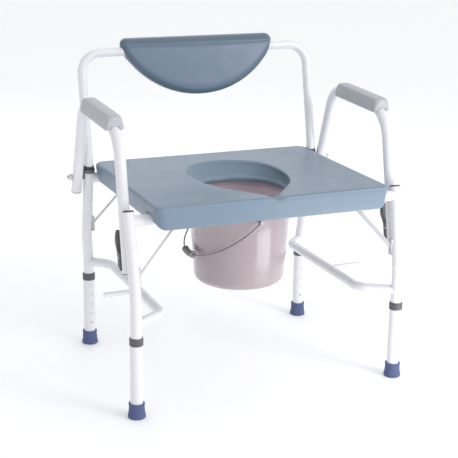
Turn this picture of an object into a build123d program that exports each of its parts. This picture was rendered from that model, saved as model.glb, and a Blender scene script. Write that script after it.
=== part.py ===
from build123d import *
import os
from math import atan, cos, degrees, radians, sin

# Commode chair: a tube frame with telescopic legs, drop arms, a lift-up seat, a lift-out pail and a plug-in back.
# Millimetres. +X is the sitter's left, +Y is towards the back, +Z is up, and the floor is Z = 0.
# Y is written here from the axis of the front legs. save() moves each piece by Y_SHIFT, so that the saved
# chair stands with the middle of its own box over the origin.

os.makedirs("parts", exist_ok=True)

SIDES = {"left": 1, "right": -1}
SNUG = 0.05
FIT = 0.1
CLEAR = 0.3
PAST = 1.0

# Tubes: outside diameter and bore
FRAME_TUBE = (25.4, 22.4)
LOWER_LEG_TUBE = (28.6, 25.6)
SIDE_TUBE = (22.2, 19.2)
BACK_TUBE = (22.2, 19.2)

# Legs, given as points of the left-hand tubes
LEG_END_Z = 45.0
FRONT_LEG = [(326.5, 0.0, LEG_END_Z), (326.5, 0.0, 272.0), (329.5, 38.9, 465.0)]
REAR_LEG = [(297.0, 465.5, LEG_END_Z), (297.0, 465.5, 225.0), (302.0, 458.0, 290.0), (302.0, 432.5, 460.0)]
LEG_BEND = 300.0
REAR_LEG_BENDS = [150.0, 200.0]

# Telescopic lower legs
FOOT_FLOOR = 6.0
FOOT_HEIGHT = 35.0
FOOT_RADIUS = 20.2
FOOT_LIP_RADIUS = 18.2
FOOT_WAIST_RADIUS = 17.4
FOOT_EDGE = 1.2
FOOT_TREAD = 8.0
SLEEVE_TOP = 181.0
COLLAR_BOTTOM = 172.0
COLLAR_TOP = 190.0
COLLAR_RADIUS = 15.75
HEIGHT_STEP = 25.4
HEIGHT_HOLES = 5
BUTTON_Z = 60.0
BUTTON_RADIUS = 3.5
BUTTON_REACH = 20.0
BUTTON_SHORTFALL = 0.35
BLADE_Y = 5.0
BLADE_LENGTH = 32.0

# Cross tubes, side tubes and arm rests
CROSS_Z = 444.5
FRONT_CROSS_Y = 35.0
FRONT_CROSS_END = 329.0
REAR_CROSS_Y = 434.8
REAR_CROSS_END = 302.0
CROSS_BORE_END = 340.0
SIDE_Z = 219.5
SIDE_CORNERS = [(250.0, 50.0), (250.0, 423.0)]
SIDE_BEND = 45.0
ARM_STOP_Y = 202.0
ARM_STOP_Z = 221.5
ARM_STOP_RADIUS = 6.0
ARM_STOP_END = 337.6

# Braces
BRACE_WIDTH = 10.0
BRACE_THICKNESS = 2.5
BRACE_TWIST = -46.0
BRACE_ENDS = {
    "front": [(314.0, 16.0, 324.0), (209.0, 37.0, 441.0)],
    "rear": [(288.5, 449.0, 324.0), (183.5, 436.0, 441.0)],
}
BRACE_FOOT = (5.5, 12.5, 38.0)
RIVET_DROP = 13.0
RIVET_RADIUS = 2.0
RIVET_DEPTH = 2.4
RIVET_HEAD = 1.8

# Leg caps and guides
CAP_DEPTH = 12.0
CAP_HEAD = 2.2
GUIDE_RADIUS = 15.0
GUIDE_LENGTH = 10.0
LIP_RADIUS = 13.2
LIP_END = 17.5

# Arms, given in the plane x = ARM_X as (y, z)
ARM_X = 331.0
ARM_FRONT_END = (37.5, 326.0)
ARM_FRONT_CORNER = (99.7, 636.8)
ARM_REAR_CORNER = (362.2, 646.0)
ARM_REAR_END = (441.1, 414.0)
ARM_BENDS = [90.0, 60.0]
ARM_PIVOT = (432.0, 451.0)
PIVOT_STUD_RADIUS = 4.0
PIVOT_STUD_END = 8.0
SPACER_RADIUS = 7.5
SPACER_GAP = 0.25
WASHER_RADIUS = 8.0
WASHER_THICKNESS = 1.6
NUT_RADIUS = 7.0
NUT_HEIGHT = 6.0
NUT_DOME_RADIUS = 5.6
PLUG_DEPTH = 12.0
PLUG_HEAD = 1.8
PAD_LENGTH = 204.0
PAD_WIDTH = 44.0
PAD_HEIGHT = 33.5
PAD_CENTRE_Y = 221.0
PAD_RISE = 5.7
PAD_BEVEL = 4.5
PAD_CORNER = 5.0
PAD_SCREW_SPOTS = [-25.0, 70.0]
PAD_SCREW_LENGTH = 34.0
SCREW_RADIUS = 2.4
SCREW_HOLE_RADIUS = 2.5
SCREW_HEAD_RADIUS = 4.6
SCREW_HEAD = 2.6

# Arm release lever, in the arm's own frame: t runs behind the front post and s runs up it from its end
LEVER_X_OFFSET = 4.0
LEVER_WIDTH = 16.0
LEVER_PIVOT = (22.0, 34.0)
LEVER_PIN_RADIUS = 2.5
LUG_THICKNESS = 6.0
LUG_OUTLINE = [(8.0, 27.0), (24.0, 27.0), (28.0, 31.0), (28.0, 37.0), (24.0, 41.0), (8.0, 41.0)]
LUG_SLOT = 7.0
LUG_SLOT_OUTLINE = [(10.0, 23.0), (31.0, 23.0), (31.0, 48.0), (10.0, 48.0)]
LEVER_OUTLINE = [
    (16.0, 4.0),
    (26.0, 8.0),
    (34.0, 15.0),
    (34.0, 42.0),
    (40.0, 54.0),
    (47.0, 64.0),
    (50.5, 77.0),
    (47.0, 87.0),
    (41.0, 90.0),
    (37.5, 85.0),
    (36.0, 72.0),
    (32.0, 57.0),
    (27.0, 46.0),
    (16.0, 43.0),
]

# Back
BACK_FOOT = (443.75, 385.0)
BACK_KNEE = (428.45, 487.0)
BACK_RAIL = (482.2, 743.0)
BACK_POST_X = 302.0
BACK_BENDS = [40.0, 50.0, 50.0, 40.0]
BACK_BUTTON_Z = 420.0
STUD_SLOT = (30.0, 8.8, 100.0, 94.8)
PANEL_ARC = 231.0
PANEL_LOW = -113.0
PANEL_HALF_WIDTH = 202.0
PANEL_FRONT = -22.0
PANEL_REAR = 16.0
PANEL_CREST = 33.0
PANEL_PLATE = 24.0
PANEL_SCREW_X = 120.0

# Seat
SEAT_HALF_WIDTH = 285.0
SEAT_FRONT = -17.0
SEAT_REAR = 444.0
SEAT_TOP = 482.5
SEAT_DECK = 457.5
SEAT_SIDE_BOTTOM = 438.0
SEAT_FRONT_BOTTOM = 430.5
SEAT_CORNER = 20.0
SEAT_EDGE = 7.0
SEAT_WALL = 14.0
SKIRT_START = 14.0
NOTCH_ROOM = 3.0
REAR_NOTCH_FRONT = 420.8
HOLE_HALF_WIDTH = 113.0
HOLE_REAR = 355.0
HOLE_TIP = 20.0
FUNNEL_Z = 441.0
FUNNEL_RADIUS = 106.0
FUNNEL_WALL = 4.0
CLIP_X = 210.0
CLIP_WIDTH = 26.0
CLIP_THICKNESS = 3.0
TAB_LENGTH = 24.0
TAB_THICKNESS = 2.5

# Pail and bail
PAIL_Y = 195.0
PAIL_BOTTOM = 227.0
PAIL_FOOT_RADIUS = 110.0
PAIL_MOUTH_RADIUS = 123.0
PAIL_BEND = 25.0
PAIL_WALL = 2.5
RIM_Z = 449.8
RIM_THICKNESS = 3.5
RIM_RADIUS = 136.0
RAIL_X = 130.0
RAIL_RADIUS = 5.0
BAIL_Z = 400.0
BAIL_HALF_SPAN = 127.0
BAIL_REACH = 161.0
BAIL_HANG = 54.0
BAIL_WIRE = 1.75
GRIP_RADIUS = 8.5
GRIP_ARC = 23.0
EYE_RADIUS = 6.2
PAIL_STUD_RADIUS = 3.0
PAIL_STUD_HEAD_RADIUS = 5.4
PAIL_STUD_FLANGE_RADIUS = 6.0
PAIL_BOSS_RADIUS = 4.5

CHAIR_FRONT = -FOOT_RADIUS
CHAIR_REAR = 501.7
Y_SHIFT = -(CHAIR_FRONT + CHAIR_REAR) / 2


# ---------------------------------------------------------------- helpers


def save(name, *solids):
    """Write one node; several separate solids make a group of like pieces."""
    shape = solids[0] if len(solids) == 1 else Compound(list(solids))
    export_step(Pos(0, Y_SHIFT, 0) * shape, f"parts/{name}.step")


def mirrored(shape):
    """The right-hand twin of a left-hand piece."""
    return mirror(shape, about=Plane.YZ)


def save_pair(name, shape):
    """Write a left-hand piece and its right-hand twin as two nodes."""
    save(f"{name}_left", shape)
    save(f"{name}_right", mirrored(shape))


def rod(start, end, radius):
    """A round bar between two points."""
    start = Vector(start)
    run = Vector(end) - start
    return Plane(start, z_dir=run) * Cylinder(radius, run.length, align=(Align.CENTER, Align.CENTER, Align.MIN))


def ring(start, end, radius, bore):
    """A round bar with a hole right through it."""
    return rod(start, end, radius) - rod(start, end, bore)


def swept_rod(path, diameter):
    """A round bar that follows a path."""
    return sweep(Plane(path @ 0, z_dir=path % 0) * Circle(diameter / 2), path=path)


def swept_tube(path, size):
    """A round tube that follows a path and is open at both ends."""
    return swept_rod(path, size[0]) - swept_rod(path, size[1])


# ---------------------------------------------------------------- legs


front_path = FilletPolyline(*FRONT_LEG, radius=LEG_BEND)
rear_path = FilletPolyline(*REAR_LEG, radius=REAR_LEG_BENDS)
front_leg_solid = swept_rod(front_path, FRAME_TUBE[0])
rear_leg_solid = swept_rod(rear_path, FRAME_TUBE[0])


def button_hole(frame):
    """The round hole that a snap button looks out of, along the frame's +Y."""
    return frame * rod((0, 0, 0), (0, BUTTON_REACH, 0), BUTTON_RADIUS + FIT)


def snap_button(frame, tip):
    """A snap button on its blade spring, inside a tube whose axis is the frame's Z. The bevelled end looks out
    along the frame's +Y, at the distance tip from the tube's axis."""
    shank = rod((0, BLADE_Y, 0), (0, tip, 0), BUTTON_RADIUS)
    shank = chamfer(shank.edges().sort_by(Axis.Y)[-1], 1.0)
    blade = Pos(0, BLADE_Y, BLADE_LENGTH / 4) * Box(2 * BUTTON_RADIUS + 1, 1.2, BLADE_LENGTH)
    return frame * (shank + blade)


leg_lean = (REAR_LEG[2][1] - REAR_LEG[3][1]) / (REAR_LEG[3][2] - REAR_LEG[2][2])
back_button_y = REAR_LEG[2][1] - leg_lean * (BACK_BUTTON_Z - REAR_LEG[2][2])
back_button_frame = Pos(REAR_LEG[3][0], back_button_y, BACK_BUTTON_Z) * Rot(degrees(atan(leg_lean)), 0, 0)
front_button_frame = Pos(FRONT_LEG[0][0], FRONT_LEG[0][1], BUTTON_Z)
rear_button_frame = Pos(REAR_LEG[0][0], REAR_LEG[0][1], BUTTON_Z) * Rot(0, 0, 180)
stud_root = (REAR_LEG[3][0] - FRAME_TUBE[1] / 2 + 0.2, *ARM_PIVOT)
stud_hole = rod(stud_root, (REAR_LEG[3][0] + 20, *ARM_PIVOT), PIVOT_STUD_RADIUS + SNUG)

front_leg = swept_tube(front_path, FRAME_TUBE) - button_hole(front_button_frame)
rear_leg = swept_tube(rear_path, FRAME_TUBE) - button_hole(rear_button_frame)
rear_leg -= button_hole(back_button_frame) + stud_hole
save_pair("front_leg", front_leg)
save_pair("rear_leg", rear_leg)

# Lower legs: foot, sleeve and guide collar, one set for each corner
foot_profile = Plane.XZ * make_face(
    Polyline(
        (0, 0),
        (FOOT_RADIUS - FOOT_EDGE, 0),
        (FOOT_RADIUS, FOOT_EDGE),
        (FOOT_RADIUS, FOOT_TREAD),
        (FOOT_LIP_RADIUS, FOOT_TREAD + 3.0),
        (FOOT_WAIST_RADIUS, FOOT_HEIGHT - 4.0),
        (FOOT_LIP_RADIUS, FOOT_HEIGHT - 3.0),
        (FOOT_LIP_RADIUS, FOOT_HEIGHT),
        (LOWER_LEG_TUBE[0] / 2 + SNUG, FOOT_HEIGHT),
        (LOWER_LEG_TUBE[0] / 2 + SNUG, FOOT_FLOOR),
        (0, FOOT_FLOOR),
        close=True,
    )
)
collar_profile = Plane.XZ * make_face(
    Polyline(
        (LOWER_LEG_TUBE[0] / 2 + SNUG, COLLAR_BOTTOM),
        (COLLAR_RADIUS, COLLAR_BOTTOM),
        (COLLAR_RADIUS, COLLAR_TOP - 2.5),
        (COLLAR_RADIUS - 1.5, COLLAR_TOP),
        (FRAME_TUBE[0] / 2 + FIT, COLLAR_TOP),
        (FRAME_TUBE[0] / 2 + FIT, SLEEVE_TOP + SNUG),
        (LOWER_LEG_TUBE[0] / 2 + SNUG, SLEEVE_TOP + SNUG),
        close=True,
    )
)
foot = revolve(foot_profile, Axis.Z)
collar = revolve(collar_profile, Axis.Z)
plain_sleeve = ring((0, 0, FOOT_FLOOR), (0, 0, SLEEVE_TOP), LOWER_LEG_TUBE[0] / 2, LOWER_LEG_TUBE[1] / 2)

for corner, leg, frame in (("front", FRONT_LEG, front_button_frame), ("rear", REAR_LEG, rear_button_frame)):
    place = Pos(leg[0][0], leg[0][1], 0)
    sleeve = place * plain_sleeve
    for step in range(HEIGHT_HOLES):
        sleeve -= Pos(0, 0, step * HEIGHT_STEP) * button_hole(frame)
    save_pair(f"{corner}_lower_leg", sleeve)
    save_pair(f"{corner}_leg_collar", place * collar)
    save_pair(f"{corner}_foot", place * foot)
    save_pair(f"{corner}_leg_button", snap_button(frame, FRAME_TUBE[0] / 2 - BUTTON_SHORTFALL))


# ---------------------------------------------------------------- frame


def cross_rod(end, y, diameter):
    """A round bar across the chair at the height of the cross tubes."""
    return rod((-end, y, CROSS_Z), (end, y, CROSS_Z), diameter / 2)


front_cross = cross_rod(FRONT_CROSS_END, FRONT_CROSS_Y, FRAME_TUBE[0])
rear_cross = cross_rod(REAR_CROSS_END, REAR_CROSS_Y, FRAME_TUBE[0])
front_bore = cross_rod(CROSS_BORE_END, FRONT_CROSS_Y, FRAME_TUBE[1])
rear_bore = cross_rod(CROSS_BORE_END, REAR_CROSS_Y, FRAME_TUBE[1])
save("front_cross_tube", front_cross - front_leg_solid - mirrored(front_leg_solid) - front_bore)
save("rear_cross_tube", rear_cross - rear_leg_solid - mirrored(rear_leg_solid) - rear_bore)

side_points = [
    (FRONT_LEG[0][0], FRONT_LEG[0][1], SIDE_Z),
    *[(x, y, SIDE_Z) for x, y in SIDE_CORNERS],
    (REAR_LEG[0][0], REAR_LEG[0][1], SIDE_Z),
]
side_path = FilletPolyline(*side_points, radius=SIDE_BEND)
side_solid = swept_rod(side_path, SIDE_TUBE[0])
save_pair("side_tube", side_solid - swept_rod(side_path, SIDE_TUBE[1]) - front_leg_solid - rear_leg_solid)

arm_stop = rod(
    (SIDE_CORNERS[0][0], ARM_STOP_Y, ARM_STOP_Z),
    (ARM_STOP_END, ARM_STOP_Y, ARM_STOP_Z),
    ARM_STOP_RADIUS,
)
arm_stop = chamfer(arm_stop.edges().sort_by(Axis.X)[-1], 1.0) - side_solid
save("arm_stop_bars", arm_stop, mirrored(arm_stop))

pail_rail = rod((RAIL_X, FRONT_CROSS_Y, CROSS_Z), (RAIL_X, REAR_CROSS_Y, CROSS_Z), RAIL_RADIUS)
pail_rail = pail_rail - front_cross - rear_cross
save("pail_rails", pail_rail, mirrored(pail_rail))


def brace(ends, leg_solid, cross_solid):
    """A flat strip from a leg up to a cross tube, rolled about its own run, with a foot that lies along the leg."""
    low, high = Vector(ends[0]), Vector(ends[1])
    run = high - low
    along = run.normalized()
    facing = along.cross(Vector(0, 1, 0).cross(along)).rotate(Axis((0, 0, 0), along), BRACE_TWIST)
    strip = Plane((low + high) * 0.5, x_dir=along, z_dir=facing) * Box(run.length, BRACE_WIDTH, BRACE_THICKNESS)
    return strip + Pos(low.X, low.Y, low.Z) * Box(*BRACE_FOOT) - leg_solid - cross_solid


brace_rivets = []
for corner, leg_solid, cross_solid in (
    ("front", front_leg_solid, front_cross),
    ("rear", rear_leg_solid, rear_cross),
):
    ends = BRACE_ENDS[corner]
    strut = brace(ends, leg_solid, cross_solid)
    base = Vector(ends[0]) + Vector(-BRACE_FOOT[0] / 2, 0, -RIVET_DROP)
    head = rod(base, base - Vector(RIVET_HEAD, 0, 0), 2 * RIVET_RADIUS)
    head = fillet(head.edges().sort_by(Axis.X)[0], RIVET_HEAD * 0.7)
    rivet = head + rod(base, base + Vector(RIVET_DEPTH, 0, 0), RIVET_RADIUS)
    strut -= rod(base, base + Vector(RIVET_DEPTH + 0.1, 0, 0), RIVET_RADIUS + SNUG)
    brace_rivets += [rivet, mirrored(rivet)]
    save(f"{corner}_braces", strut, mirrored(strut))
save("brace_rivets", *brace_rivets)

# Plugs in the tops of the front legs
leg_top = Vector(FRONT_LEG[2])
leg_rise = (leg_top - Vector(FRONT_LEG[1])).normalized()
cap = rod(leg_top - leg_rise * CAP_DEPTH, leg_top, FRAME_TUBE[1] / 2 - SNUG)
cap_head = rod(leg_top, leg_top + leg_rise * CAP_HEAD, FRAME_TUBE[0] / 2)
cap += chamfer(cap_head.edges().sort_by(Axis.Z)[-1], 1.0)
save("front_leg_caps", cap, mirrored(cap))

# Collars on the tops of the rear legs: a wide lower ring and a slim lip, both round the back post
post_top = Vector(REAR_LEG[3])
post_rise = (post_top - Vector(REAR_LEG[2])).normalized()
lip_start = post_top + post_rise * GUIDE_LENGTH
guide = ring(post_top, lip_start, GUIDE_RADIUS, BACK_TUBE[0] / 2 + FIT)
guide += ring(lip_start, post_top + post_rise * LIP_END, LIP_RADIUS, BACK_TUBE[0] / 2 + FIT)
save("rear_leg_guides", guide, mirrored(guide))

# Arm pivots: a stud set in the rear leg, a spacer between leg and arm, and a washer and an acorn nut outside
LEG_FACE = REAR_LEG[3][0] + FRAME_TUBE[0] / 2
ARM_INNER = ARM_X - FRAME_TUBE[0] / 2
ARM_OUTER = ARM_X + FRAME_TUBE[0] / 2
NUT_FACE = ARM_OUTER + CLEAR


def on_pivot(x):
    """The point of the arm's hinge line at this x."""
    return (x, *ARM_PIVOT)


stud = rod(stud_root, on_pivot(NUT_FACE + PIVOT_STUD_END), PIVOT_STUD_RADIUS)
spacer_ends = (on_pivot(LEG_FACE + SPACER_GAP), on_pivot(ARM_INNER - SPACER_GAP))
spacer = ring(*spacer_ends, SPACER_RADIUS, PIVOT_STUD_RADIUS + FIT)
washer_ends = (on_pivot(NUT_FACE), on_pivot(NUT_FACE + WASHER_THICKNESS))
washer = ring(*washer_ends, WASHER_RADIUS, PIVOT_STUD_RADIUS + SNUG)
nut_plane = Plane(washer_ends[1], z_dir=(1, 0, 0))
dome_room = 2 * NUT_DOME_RADIUS + PAST
dome_half = Pos(0, 0, dome_room / 2) * Box(dome_room, dome_room, dome_room)
nut = nut_plane * extrude(RegularPolygon(NUT_RADIUS, 6), NUT_HEIGHT)
nut += nut_plane * Pos(0, 0, NUT_HEIGHT) * (Sphere(NUT_DOME_RADIUS) & dome_half)
nut -= rod(on_pivot(NUT_FACE), on_pivot(NUT_FACE + PIVOT_STUD_END + CLEAR), PIVOT_STUD_RADIUS + SNUG)
save("arm_pivot_studs", stud, mirrored(stud))
save("arm_pivot_spacers", spacer, mirrored(spacer))
save("arm_pivot_washers", washer, mirrored(washer))
save("arm_pivot_nuts", nut, mirrored(nut))


# ---------------------------------------------------------------- arms


def in_arm(y, z):
    """A point of the left arm's plane."""
    return Vector(ARM_X, y, z)


arm_points = [in_arm(*spot) for spot in (ARM_FRONT_END, ARM_FRONT_CORNER, ARM_REAR_CORNER, ARM_REAR_END)]
arm_path = FilletPolyline(*arm_points, radius=ARM_BENDS)
arm_solid = swept_rod(arm_path, FRAME_TUBE[0])
arm_bore = swept_rod(arm_path, FRAME_TUBE[1])

# The lever's frame: x across the chair, local y (t) behind the post, local z (s) up the post
post_lean = degrees(atan((ARM_FRONT_CORNER[0] - ARM_FRONT_END[0]) / (ARM_FRONT_CORNER[1] - ARM_FRONT_END[1])))
lever_frame = Pos(*arm_points[0]) * Rot(-post_lean, 0, 0) * Pos(LEVER_X_OFFSET, 0, 0)


def across_lever(half_length, radius):
    """A bar along the lever's hinge line."""
    return rod((-half_length, *LEVER_PIVOT), (half_length, *LEVER_PIVOT), radius)


def side_view(points, width):
    """A plate of the given width whose outline is drawn in the lever's t, s plane."""
    return extrude(Plane.YZ * make_face(Polyline(*points, close=True)), width / 2, both=True)


lug = side_view(LUG_OUTLINE, LUG_THICKNESS)
lug -= across_lever(20, LEVER_PIN_RADIUS + SNUG)
arm_tube = arm_solid + lever_frame * lug - arm_bore
arm_tube -= rod(on_pivot(ARM_X - 20), on_pivot(ARM_X + 20), PIVOT_STUD_RADIUS + FIT)

bar_run = (arm_points[2] - arm_points[1]).normalized()
bar_rise = Vector(1, 0, 0).cross(bar_run)
bar_middle = arm_points[1] + bar_run * ((PAD_CENTRE_Y - ARM_FRONT_CORNER[0]) / bar_run.Y)
pad_plane = Plane(bar_middle + bar_rise * PAD_RISE, x_dir=(1, 0, 0), z_dir=bar_rise)
pad_block = Box(PAD_WIDTH, PAD_LENGTH, PAD_HEIGHT)
pad_block = chamfer(pad_block.edges().group_by(Axis.Z)[-1], PAD_BEVEL)
pad_block = fillet(pad_block.edges().filter_by(Axis.Z), PAD_CORNER)
pad = pad_plane * pad_block - swept_rod(arm_path, FRAME_TUBE[0] + 0.1)

pad_screws = []
for spot in PAD_SCREW_SPOTS:
    seat_point = bar_middle + bar_run * spot - bar_rise * (FRAME_TUBE[0] / 2 + 0.2)
    screw_end = seat_point + bar_rise * PAD_SCREW_LENGTH
    screw = rod(seat_point, screw_end, SCREW_RADIUS)
    screw += rod(seat_point - bar_rise * SCREW_HEAD, seat_point, SCREW_HEAD_RADIUS)
    clearance = rod(seat_point, screw_end + bar_rise * 0.5, SCREW_HOLE_RADIUS)
    arm_tube -= clearance
    pad -= clearance
    pad_screws.append(screw)

save_pair("arm_tube", arm_tube)
save_pair("arm_pad", pad)
save("arm_pad_screws_left", *pad_screws)
save("arm_pad_screws_right", *[mirrored(screw) for screw in pad_screws])


def end_plug(end, inward):
    """A plug pressed into the end of an arm tube."""
    inward = inward.normalized()
    stem = rod(end, end + inward * PLUG_DEPTH, FRAME_TUBE[1] / 2 - SNUG)
    return stem + rod(end - inward * PLUG_HEAD, end, FRAME_TUBE[0] / 2)


front_plug = end_plug(arm_points[0], arm_points[1] - arm_points[0])
rear_plug = end_plug(arm_points[3], arm_points[2] - arm_points[3])
plugs = [front_plug, rear_plug]
save("arm_end_plugs_left", *plugs)
save("arm_end_plugs_right", *[mirrored(plug) for plug in plugs])

# Release lever: a paddle behind the post and a forked boss on the pin
lever = side_view(LEVER_OUTLINE, LEVER_WIDTH)
lever -= side_view(LUG_SLOT_OUTLINE, LUG_SLOT)
lever -= across_lever(20, LEVER_PIN_RADIUS + FIT)
lever_pin = across_lever(LEVER_WIDTH / 2 + 1.0, LEVER_PIN_RADIUS)
save_pair("release_lever", lever_frame * lever)
save_pair("lever_pin", lever_frame * lever_pin)


# ---------------------------------------------------------------- back


def back_points(sign):
    """One side of the back tube from its plug-in end up to the rail's corner."""
    return [(sign * BACK_POST_X, *spot) for spot in (BACK_FOOT, BACK_KNEE, BACK_RAIL)]


back_path = FilletPolyline(*back_points(-1), *reversed(back_points(1)), radius=BACK_BENDS)
stud_slot = Pos(BACK_POST_X, *ARM_PIVOT) * Rot(degrees(atan(leg_lean)), 0, 0)
stud_slot *= Pos(0, 0, STUD_SLOT[2] / 2 - STUD_SLOT[3]) * Box(*STUD_SLOT[:3])
back_cuts = button_hole(back_button_frame) + stud_slot
back_tube = swept_tube(back_path, BACK_TUBE) - back_cuts - mirrored(back_cuts)
save_pair("back_button", snap_button(back_button_frame, BACK_TUBE[0] / 2 - BUTTON_SHORTFALL))

# Back panel: a half-moon plate whose thick top edge rolls round the rail. Drawn in the rail's own frame,
# with local y behind the rail and local z up the reclined post.
recline = degrees(atan((BACK_RAIL[0] - BACK_KNEE[0]) / (BACK_RAIL[1] - BACK_KNEE[1])))
rail_frame = Pos(0, *BACK_RAIL) * Rot(-recline, 0, 0)
crest_y = 2.0
panel_section = Plane.YZ * make_face(
    [
        Line((PANEL_FRONT, PANEL_LOW - 1), (PANEL_FRONT, 12)),
        ThreePointArc((PANEL_FRONT, 12), (-13.5, 27.0), (crest_y, PANEL_CREST)),
        ThreePointArc((crest_y, PANEL_CREST), (12.5, 27.0), (PANEL_REAR, 16)),
        Line((PANEL_REAR, 16), (PANEL_REAR, -18)),
        Line((PANEL_REAR, -18), (PANEL_FRONT + PANEL_PLATE, -30)),
        Line((PANEL_FRONT + PANEL_PLATE, -30), (PANEL_FRONT + PANEL_PLATE, PANEL_LOW - 1)),
        Line((PANEL_FRONT + PANEL_PLATE, PANEL_LOW - 1), (PANEL_FRONT, PANEL_LOW - 1)),
    ]
)
panel_roll = extrude(panel_section, PANEL_HALF_WIDTH, both=True)
moon_disc = Plane.XZ * Pos(0, PANEL_LOW + PANEL_ARC) * Circle(PANEL_ARC)
moon = extrude(moon_disc, 60.0, both=True)
panel = rail_frame * (panel_roll & moon) - swept_rod(back_path, BACK_TUBE[0] + 0.1)

panel_screws = []
for screw_x in (-PANEL_SCREW_X, PANEL_SCREW_X):
    start = rail_frame * Pos(screw_x, PANEL_REAR + 2.0, 0)
    end = rail_frame * Pos(screw_x, 4.0, 0)
    head = rail_frame * Pos(screw_x, PANEL_REAR - 0.2, 0)
    screw = rod(head.position, end.position, SCREW_RADIUS)
    screw += rod(start.position, head.position, SCREW_HEAD_RADIUS)
    clearance = rod(head.position, (rail_frame * Pos(screw_x, 3.5, 0)).position, SCREW_HOLE_RADIUS)
    pocket = rod(start.position, head.position, SCREW_HEAD_RADIUS + FIT)
    back_tube -= clearance
    panel = panel - clearance - pocket
    panel_screws.append(screw)
save("back_tube", back_tube)
save("back_panel", panel)
save("back_panel_screws", *panel_screws)


# ---------------------------------------------------------------- seat


def seat_box(x, y_low, y_high, z_low, z_high):
    """A box across the seat, x either side of the middle."""
    return Pos(0, (y_low + y_high) / 2, (z_low + z_high) / 2) * Box(2 * x, y_high - y_low, z_high - z_low)


def hole_outline(z):
    """The hole's rounded drop shape, its narrow end to the front."""
    wide_y = HOLE_REAR - HOLE_HALF_WIDTH
    return Plane.XY.offset(z) * make_face(
        [
            ThreePointArc((-HOLE_TIP, 10), (0, 0), (HOLE_TIP, 10)),
            Line((HOLE_TIP, 10), (84, 98)),
            ThreePointArc((84, 98), (106, 155), (HOLE_HALF_WIDTH, wide_y)),
            ThreePointArc((HOLE_HALF_WIDTH, wide_y), (0, HOLE_REAR), (-HOLE_HALF_WIDTH, wide_y)),
            ThreePointArc((-HOLE_HALF_WIDTH, wide_y), (-106, 155), (-84, 98)),
            Line((-84, 98), (-HOLE_TIP, 10)),
        ]
    )


def seat_round(z_low, z_high, radius):
    """A disc over the pail."""
    return rod((0, PAIL_Y, z_low), (0, PAIL_Y, z_high), radius)


shell = seat_box(SEAT_HALF_WIDTH, SEAT_FRONT, SEAT_REAR, SEAT_FRONT_BOTTOM, SEAT_TOP)
shell = fillet(shell.edges().filter_by(Axis.Z), SEAT_CORNER)
shell = fillet(shell.faces().sort_by(Axis.Z)[-1].edges(), SEAT_EDGE)
cut_side = SEAT_HALF_WIDTH + PAST
cut_rear = SEAT_REAR + PAST
cut_floor = SEAT_FRONT_BOTTOM - PAST
front_notch_rear = FRONT_CROSS_Y + FRAME_TUBE[0] / 2 + NOTCH_ROOM
shell -= seat_box(SEAT_HALF_WIDTH - SEAT_WALL, SKIRT_START, cut_rear, cut_floor, SEAT_DECK)
shell -= seat_box(cut_side, SKIRT_START, cut_rear, cut_floor, SEAT_SIDE_BOTTOM)
shell -= seat_box(cut_side, SKIRT_START, front_notch_rear, cut_floor, SEAT_DECK)
shell -= seat_box(cut_side, REAR_NOTCH_FRONT, cut_rear, cut_floor, SEAT_DECK)
collar_lip = seat_round(FUNNEL_Z, SEAT_DECK + 3.0, FUNNEL_RADIUS + FUNNEL_WALL)
hole = loft([Pos(0, PAIL_Y, SEAT_DECK) * Circle(FUNNEL_RADIUS), hole_outline(SEAT_TOP)], ruled=True)
seat = shell + collar_lip - hole - seat_round(FUNNEL_Z - PAST, SEAT_DECK + 0.01, FUNNEL_RADIUS)
save("seat", seat)

# Hinge clips under the rear edge of the seat, snapped round the rear cross tube
clip_bore = FRAME_TUBE[0] / 2 + FIT
clips = []
for sign in SIDES.values():
    inner, outer = sign * CLIP_X, sign * (CLIP_X + CLIP_WIDTH)
    hook = ring(
        (inner, REAR_CROSS_Y, CROSS_Z),
        (outer, REAR_CROSS_Y, CROSS_Z),
        clip_bore + CLIP_THICKNESS,
        clip_bore,
    )
    middle_x = sign * (CLIP_X + CLIP_WIDTH / 2)
    hook &= Pos(middle_x, REAR_CROSS_Y, CROSS_Z - 7.0) * Box(CLIP_WIDTH + 2 * PAST, 40.0, 26.0)
    leg_y = REAR_CROSS_Y - clip_bore - CLIP_THICKNESS / 2
    riser_top = SEAT_DECK - SNUG
    riser = Pos(middle_x, leg_y, (CROSS_Z + riser_top) / 2) * Box(CLIP_WIDTH, CLIP_THICKNESS, riser_top - CROSS_Z)
    tab_spot = Pos(middle_x, leg_y - TAB_LENGTH / 2, riser_top - TAB_THICKNESS / 2)
    tab = tab_spot * Box(CLIP_WIDTH, TAB_LENGTH, TAB_THICKNESS)
    clips.append(hook + riser + tab)
save("seat_hinge_clips", *clips)


# ---------------------------------------------------------------- pail


def pail_wall_radius(z):
    """Outside radius of the tapering wall."""
    rise = (z - PAIL_BOTTOM - PAIL_BEND) / (RIM_Z - PAIL_BOTTOM - PAIL_BEND)
    return PAIL_FOOT_RADIUS + (PAIL_MOUTH_RADIUS - PAIL_FOOT_RADIUS) * rise


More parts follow.
